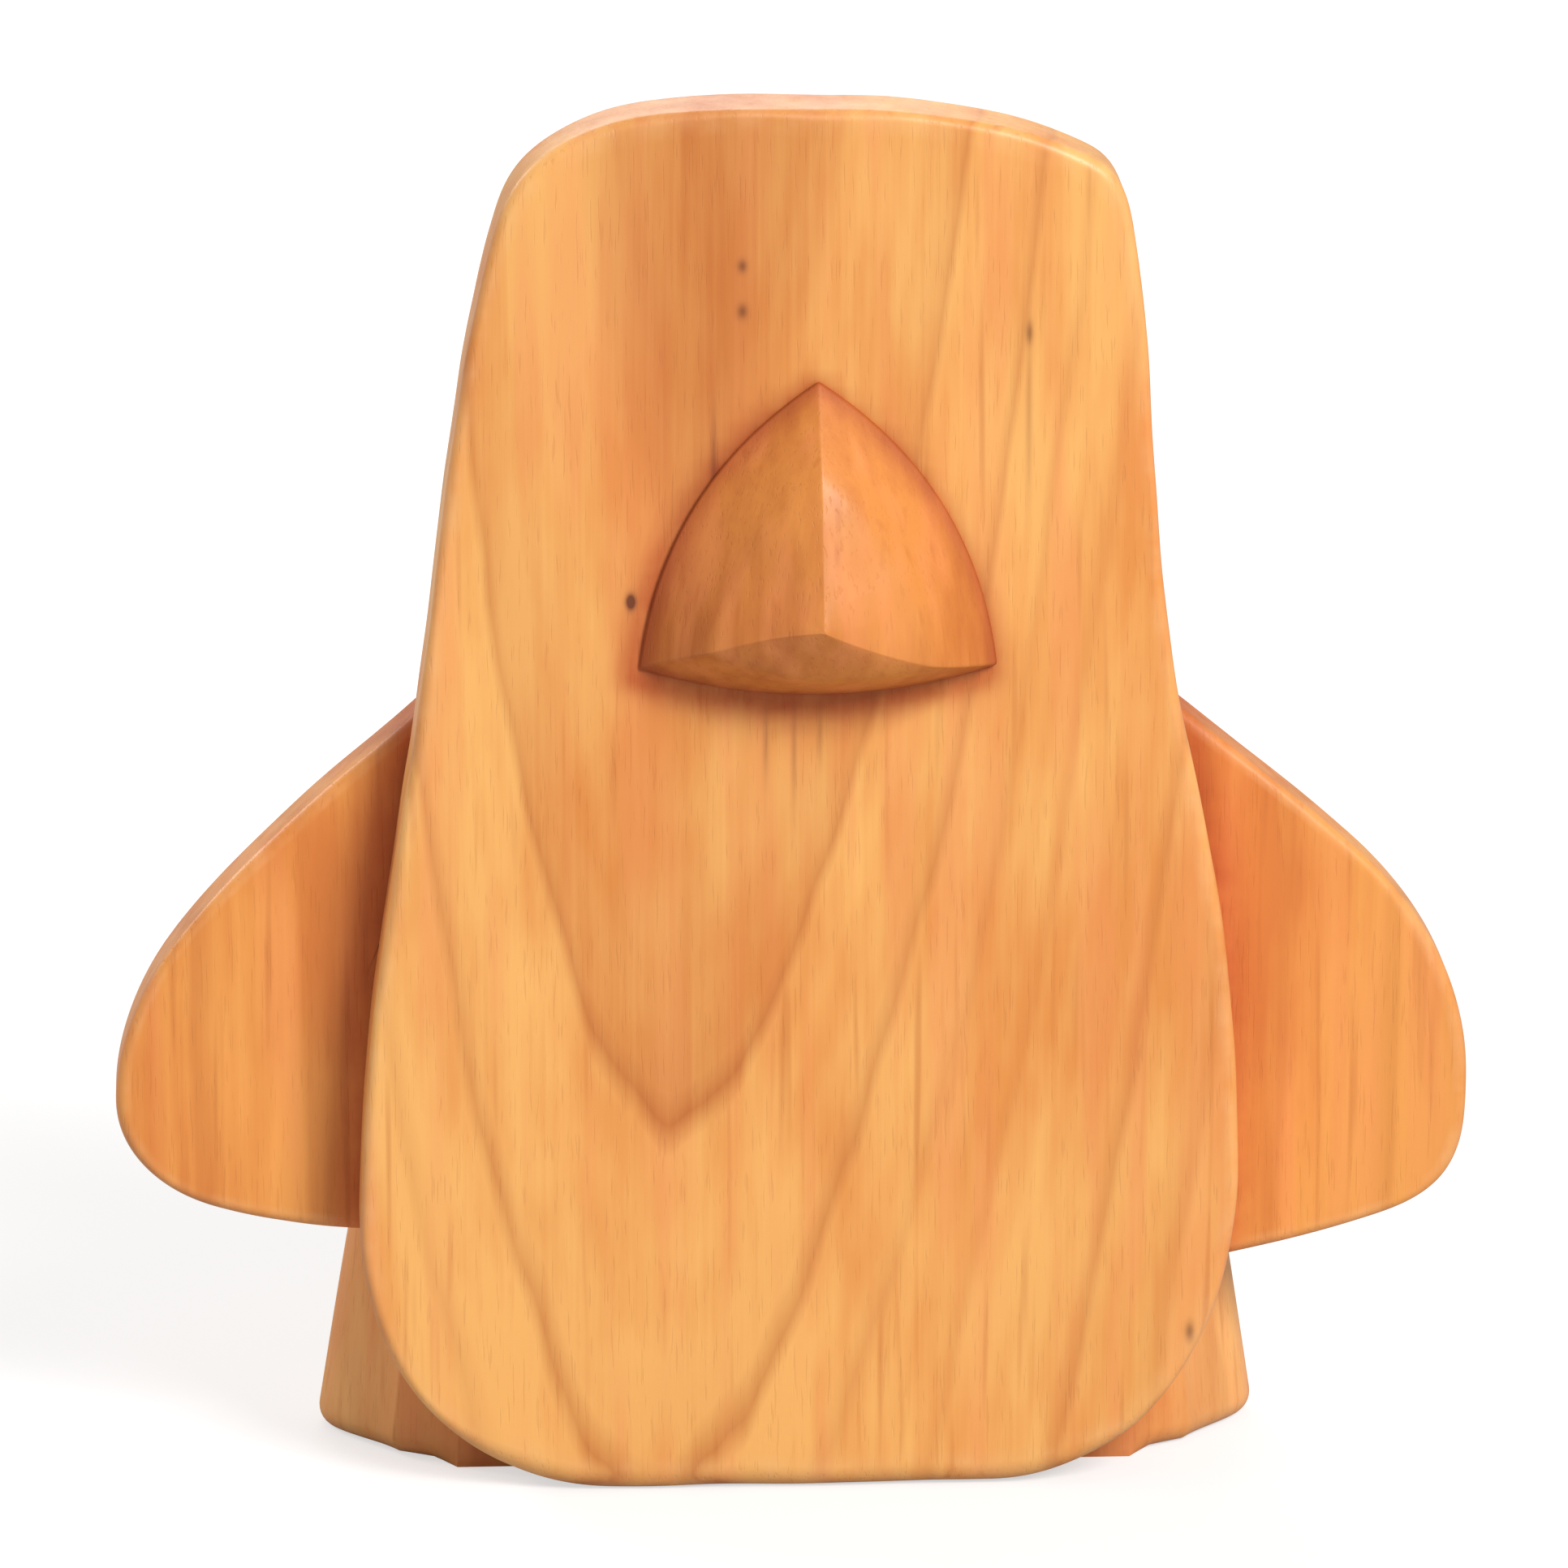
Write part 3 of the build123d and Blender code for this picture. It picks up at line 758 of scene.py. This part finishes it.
def oiled_wood(name, pith, lean, profile, turned=(0, 0, 0), waver=5.0, peak=0.0, clouds=(), knots=(),
               tones=(PALE, WARM, DARK)):
    """pith and lean place the log's middle, in mm and as a slope; profile gives the darkness of
    its rings; turned is the log's own rotation; clouds are warmer or, below 0, paler places."""
    material = bpy.data.materials.new(name)
    material.use_nodes = True
    tree = material.node_tree
    tree.nodes.clear()
    place = add(tree, "TexCoord").outputs["Object"]
    point = add(tree, "Mapping", {0: place, 2: turned}).outputs[0]
    grown = add(tree, "Group", {"Point": point, "Pith": [side * MM for side in pith], "Lean": lean,
                                "Waver": waver, "Peak": peak}, node_tree=rings).outputs
    fibre, pores = grown["Fibre"], grown["Pores"]
    late = ring_ramp(tree, grown["Distance"], profile)
    rough = maths(tree, "MULTIPLY_ADD", pores, ROUGHER_PORES, SATIN)
    # Edge marks wear; the second mask marks where shade is painted into the corners.
    masks = {label: add(tree, "Attribute", attribute_name=label.lower()).outputs["Fac"]
             for label in ("Edge", "Painted_shade")}
    worn_and_shaded = add(tree, "Group", {
        "Point": point, "Colour": wood_colour(tree, point, grown, late, tones, clouds, knots),
        "Roughness": maths(tree, "MULTIPLY_ADD", fibre, ROUGHER_FIBRE, rough),
        **masks}, node_tree=wear_and_shade_group).outputs
    relief = maths(tree, "MULTIPLY", fibre, FIBRE_PROUD)
    relief = maths(tree, "MULTIPLY_ADD", late, LATE_PROUD, relief)
    relief = maths(tree, "MULTIPLY_ADD", pores, -PORES_DEEP, relief)
    bump = add(tree, "Bump", {"Strength": 0.35, "Distance": RELIEF, "Height": relief})
    oil = add(tree, "BsdfPrincipled", {
        "Base Color": worn_and_shaded["Colour"], "Roughness": worn_and_shaded["Roughness"], "Normal": bump.outputs[0],
        "IOR": 1.47, "Coat Weight": 0.12, "Coat Roughness": 0.3})
    tree.links.new(oil.outputs[0], add(tree, "OutputMaterial").inputs[0])
    print(f"{name}: {len(profile)} stops in its rings, {len(tree.nodes)} nodes")
    return material


print("relief of the grain:", RELIEF / MM, "mm")

# %% [markdown]
# ## Which part of the log each piece is
# The board is a plank from one side of the log: at the ground the pith ran almost 40 mm behind the
# face, and it leaned forward as it rose. That draws a tall arch upside down, with its point low on
# the board, and a brown band where the heartwood comes nearest the face. The other pieces come from
# other planks of the same pale wood. Clouds, knots and fine dark cracks sit at their own places.

# %% Rings for a plain plank
RING_WIDTHS, RING_COUNT = (7, 11), 9
LATE_WIDTHS, RING_END = (2, 4), 0.7     # in mm, as the widths: where a ring darkens, where it ends
EARLY, BEFORE_LATE, AFTER_LATE = 0.1, 0.08, 0.05    # darkness


def even_rings(first, last, darkest, seed):
    """Rings at uneven steps of 7 to 11 mm: darkness climbs over the last third of each ring and
    drops at its end."""
    rng = np.random.default_rng(seed)
    radii = first + np.cumsum(rng.uniform(*RING_WIDTHS, RING_COUNT))
    profile = [(0, EARLY)]
    for radius in radii[radii < last]:
        peak = darkest * rng.uniform(0.4, 1)
        profile += [(radius - rng.uniform(*LATE_WIDTHS), BEFORE_LATE), (radius, peak),
                    (radius + RING_END, AFTER_LATE)]
    return profile


print("rings of the nose:", [round(float(radius), 1) for radius, _ in even_rings(2, 85, 0.4, seed=3)])

# %% Five finishes
board_wood = oiled_wood(
    "board_wood", pith=(-15, 22.5, 0), lean=(0.04, -0.19, 0), waver=3, peak=3,
    profile=[(0, 0.75), (13, 0.7), (15.5, 0.5), (17, 0.2), (22, 0.22), (25.5, 0.36), (27.5, 0.5),
             (28.2, 1), (28.7, 0.1), (31, 0.04), (34.8, 0.15), (35.9, 0.9), (36.5, 0.06),
             (40, 0.08), (41.2, 0.5), (41.9, 0.06), (46, 0.1), (47, 0.4), (47.7, 0.06),
             (55.3, 0.15), (56.6, 0.9), (57.4, 0.15), (61, 0.1), (64, 0.6), (65, 0.1)],
    clouds=[(-10, 126, 9, 20, 0.8), (-14, 58, 10, 14, 0.25), (30, 57, 16, 17, 0.6),
            (-2, 85, 13, 5, 0.35), (-14, 21, 20, 14, -0.25), (-31, 112, 7, 26, -0.2),
            (36, 100, 5, 22, 0.3), (12, 138, 9, 10, -0.25), (12, 14, 32, 14, -0.3),
            (-22, 83, 13, 15, 0.3)],
    knots=[(-5.9, 133.4, 0.5, 0.7, 0.8), (-5.9, 128.6, 0.55, 0.8, 0.8), (-17.6, 97.7, 0.5, 0.8, 1.8),
           (24, 126, 0.4, 1.2, 0.6), (41.7, 17, 0.5, 1.1, 0.8), (-8.9, 112, 0.35, 6, 0.5),
           (-4.6, 110, 0.3, 5, 0.4), (24, 117, 0.35, 9, 0.3), (-3.5, 82, 0.35, 4, 0.35),
           (-0.5, 81, 0.3, 5, 0.35), (2.2, 83, 0.3, 3, 0.3)])
nose_wood = oiled_wood(
    "nose_wood", pith=(70, 10, 0), lean=(0.05, 0.02, 0), waver=2.0,
    profile=even_rings(2, 85, 0.4, seed=3), tones=((226, 142, 64), (196, 108, 44), DARK),
    clouds=[(-13, 98, 9, 14, 0.7), (8, 104, 5, 8, -0.25), (18, 97, 7, 9, 0.3)])
# The arms' first two clouds, beside the board, are painted shade: they make the arms warmer and darker
# there.
arm_wood = oiled_wood(
    "arm_wood", pith=(0, 22, 0), lean=(0.01, -0.03, 0), waver=3.0,
    profile=even_rings(12, 88, 0.8, seed=7), tones=((246, 166, 82), (226, 134, 60), DARK),
    clouds=[(46, 62, 9, 28, 0.7), (-45, 60, 9, 30, 0.4), (62, 48, 10, 16, -0.2),
            (-60, 44, 12, 16, -0.3)])
body_wood = oiled_wood(
    "body_wood", pith=(8, 16, 0), lean=(-0.06, 0.05, 0), waver=8.0,
    profile=even_rings(3, 80, 1, seed=5), tones=((252, 184, 108), (242, 160, 84), DARK))
dowel_wood = oiled_wood(
    "dowel_wood", pith=(0, 0, 0), lean=(0, 0, 0), turned=(radians(90), 0, 0),
    profile=even_rings(2, 80, 0.5, seed=9), tones=((240, 196, 136), (222, 168, 106), DARK))

# %% [markdown]
# ## Putting the finishes on
# Each carved piece rides on the doll's one body, takes the place of its CAD node, which is hidden,
# and gets its finish. The dowels stay as the CAD model has them and only get their wood.

# %% Putting the finishes on
def dressed(piece, material, node):
    """Gives a new piece its finish, puts it on the doll's root body and hides the CAD node that it
    stands for.
    """
    piece.data.materials.clear()
    piece.data.materials.append(material)
    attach(piece, "root")
    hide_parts(node)


dressed(board, board_wood, "face_board")
dressed(nose, nose_wood, "nose")
dressed(body, body_wood, "body_block")
for node, piece in arms.items():
    dressed(piece, arm_wood, node)
dowels = [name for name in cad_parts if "dowel" in name]
for name in dowels:
    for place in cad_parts[name].material_slots:
        place.material = dowel_wood
print("dowels kept from the CAD model:", dowels)

# %% [markdown]
# ## The table
# The doll stands on white paper. Like a lit studio ground, the paper is lifted to white for the
# camera only, so it doesn't light the doll from below.

# %% The table
TABLE, PAPER_GREY, PAPER_LIFT = 4.0, 0.45, 0.6

sheet = bpy.data.meshes.new("table_top")
corners = np.array([[-1, -1, 0], [1, -1, 0], [1, 1, 0], [-1, 1, 0]]) * TABLE
sheet.from_pydata(corners.tolist(), [], [(0, 1, 2, 3)])
table = new_piece("table_top", sheet)
white = bpy.data.materials.new("white_paper")
white.use_nodes = True
paper = white.node_tree.nodes["Principled BSDF"]
for socket, value in (("Base Color", (PAPER_GREY, PAPER_GREY, PAPER_GREY, 1)), ("Roughness", 0.9),
                      ("Specular IOR Level", 0.0), ("Emission Color", (1, 1, 1, 1))):
    paper.inputs[socket].default_value = value
seen = add(white.node_tree, "LightPath").outputs["Is Camera Ray"]
lift = maths(white.node_tree, "MULTIPLY", seen, PAPER_LIFT)
white.node_tree.links.new(lift, paper.inputs["Emission Strength"])
table.data.materials.append(white)
print("table of", 2 * TABLE, "m")

# %% [markdown]
# ## Light
# A large key lamp stands in front, high and to the doll's left, so the nose shades its own right
# side. A side lamp and a back lamp brighten the edges that turn away, and the room fills the rest.

# %% The lamps
LAMP_AIM, ROOM_STRENGTH = Vector((0, 0, 0.07)), 0.42
scene.view_settings.view_transform = "Standard"
room = bpy.data.worlds.new("room")
scene.world = room
room.use_nodes = True
room.node_tree.nodes["Background"].inputs["Color"].default_value = (1, 0.99, 0.98, 1)
room.node_tree.nodes["Background"].inputs["Strength"].default_value = ROOM_STRENGTH


def lamp(name, place, size, power):
    """A square lamp that faces the doll's middle."""
    light = bpy.data.lights.new(name, "AREA")
    light.size, light.energy = size, power
    holder = bpy.data.objects.new(name, light)
    holder.location = place
    holder.rotation_euler = (LAMP_AIM - Vector(place)).to_track_quat("-Z", "Y").to_euler()
    scene.collection.objects.link(holder)
    print(f"{name}: {power} W over {size} m at {place}")


lamp("key", (1.06, -1.67, 1.53), size=0.9, power=52)
lamp("side", (-1.2, 0.75, 0.85), size=0.5, power=8)
lamp("back", (-0.1, 1.1, 0.75), size=0.7, power=4)

# %% [markdown]
# ## Camera
# The camera looks down a little from the doll's right. A long lens from over a metre away keeps the
# board's sides as straight as they are.

# %% The camera
ELEVATION, AZIMUTH, DISTANCE, FOCAL = radians(14.5), radians(-3), 1.2, 260.2
AIM_ASIDE, AIM_BEHIND_FACE, AIM_HEIGHT = -1.06 * MM, 10 * MM, 75.3 * MM
aim = Vector((AIM_ASIDE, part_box("face_board")[0].y + AIM_BEHIND_FACE, AIM_HEIGHT))
back = Vector((sin(AZIMUTH) * cos(ELEVATION), -cos(AZIMUTH) * cos(ELEVATION), sin(ELEVATION)))
lens = bpy.data.cameras.new("camera")
lens.sensor_width, lens.lens, lens.clip_start, lens.clip_end = 36, FOCAL, 0.1, 50
camera = bpy.data.objects.new("camera", lens)
camera.location = aim + DISTANCE * back
camera.rotation_euler = (-back).to_track_quat("-Z", "Y").to_euler()
scene.collection.objects.link(camera)
scene.camera = camera
print("camera at", [round(side, 3) for side in camera.location])
